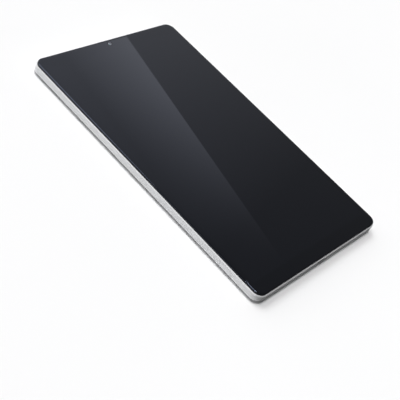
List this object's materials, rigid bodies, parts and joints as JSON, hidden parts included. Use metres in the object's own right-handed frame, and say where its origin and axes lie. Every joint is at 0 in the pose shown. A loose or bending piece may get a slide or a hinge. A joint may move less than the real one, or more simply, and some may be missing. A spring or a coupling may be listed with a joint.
{
  "type": "tablet computer",
  "caption": "Slim rectangular tablet computer: black front glass, white shell with a rounded back edge, pill-shaped rear camera window, side keys, card tray and charging port.",
  "frame": {"origin": "middle of the underside, on the surface that the tablet lies on", "axes": "+Z out of the screen, +Y to the end with the front camera, +X to the side with the keys"},
  "size_m": [0.1255, 0.2046, 0.0079],
  "materials": {
    "white_shell": "gloss",
    "white_key": "gloss",
    "black_frame": "satin",
    "screen_glass": "polished",
    "display_stack": "gloss",
    "light_guide": "satin",
    "black_tape": "matte",
    "amber_flex": "satin",
    "black_moulding": "satin",
    "camera_black": "gloss",
    "camera_window": "polished",
    "flash_clear": "gloss",
    "flash_phosphor": "satin",
    "light_alloy": "matte",
    "steel_screw": "satin",
    "pressed_steel": "satin",
    "battery_foil": "satin",
    "circuit_board": "satin",
    "chip_black": "matte",
    "graphite": "matte",
    "port_metal": "satin",
    "gold_can": "satin",
    "grille_mesh": "matte",
    "lead_jacket": "satin"
  },
  "bodies": {
    "body": {"rear_cover": "white_shell", "front_frame": "black_frame", "cover_glass": "screen_glass", "display_tape": "black_tape", "display_panel": "display_stack", "backlight_unit": "light_guide", "display_flex": "amber_flex", "display_connector": "black_moulding", "mid_plate": "light_alloy", "screw_main_board_1": "steel_screw", "screw_main_board_2": "steel_screw", "screw_main_board_3": "steel_screw", "screw_main_board_4": "steel_screw", "screw_main_board_5": "steel_screw", "screw_sub_board_1": "steel_screw", "screw_sub_board_2": "steel_screw", "screw_speaker_left": "steel_screw", "screw_speaker_right": "steel_screw", "battery_cell_left": "battery_foil", "battery_tape_left": "black_tape", "battery_cell_right": "battery_foil", "battery_tape_right": "black_tape", "battery_board": "circuit_board", "battery_flex": "amber_flex", "battery_connector": "black_moulding", "main_board": "circuit_board", "shield_processor": "pressed_steel", "processor": "chip_black", "memory_chip": "chip_black", "shield_power": "pressed_steel", "shield_radio": "pressed_steel", "graphite_sheet": "graphite", "sub_board": "circuit_board", "usb_c_shell": "port_metal", "usb_c_tongue": "black_moulding", "microphone": "gold_can", "main_flex": "amber_flex", "camera_trim": "camera_black", "camera_glass": "camera_window", "rear_camera_module": "camera_black", "rear_camera_flex": "amber_flex", "flash_lens": "flash_clear", "flash_led": "flash_phosphor", "front_camera_module": "camera_black", "speaker_left": "black_moulding", "speaker_mesh_left": "grille_mesh", "speaker_right": "black_moulding", "speaker_mesh_right": "grille_mesh", "antenna_upper": "black_moulding", "antenna_lower": "black_moulding", "coax_lead": "lead_jacket", "dome_switch_volume_up": "pressed_steel", "dome_switch_volume_down": "pressed_steel", "dome_switch_power": "pressed_steel", "side_key_flex": "amber_flex", "key_bracket": "pressed_steel", "card_socket": "pressed_steel"},
    "volume_rocker": {"volume_rocker": "white_key"},
    "power_key": {"power_key": "white_key"},
    "card_tray": {"card_tray": "white_key"}
  },
  "joints": [
    {"name": "volume_rocker_tilt", "type": "hinge", "parent": "body", "child": "volume_rocker", "pos_m": [0.0606, 0.0446, 0.0042], "axis": [0, 0, 1], "range_deg": [-1.5, 1.5], "stiffness_Nm_per_rad": 0.1},
    {"name": "power_key_press", "type": "slide", "parent": "body", "child": "power_key", "axis": [-1, 0, 0], "range_m": [0, 0.0003], "stiffness_N_per_m": 1500},
    {"name": "card_tray_slide", "type": "slide", "parent": "body", "child": "card_tray", "axis": [1, 0, 0], "range_m": [0, 0.022]}
  ]
}
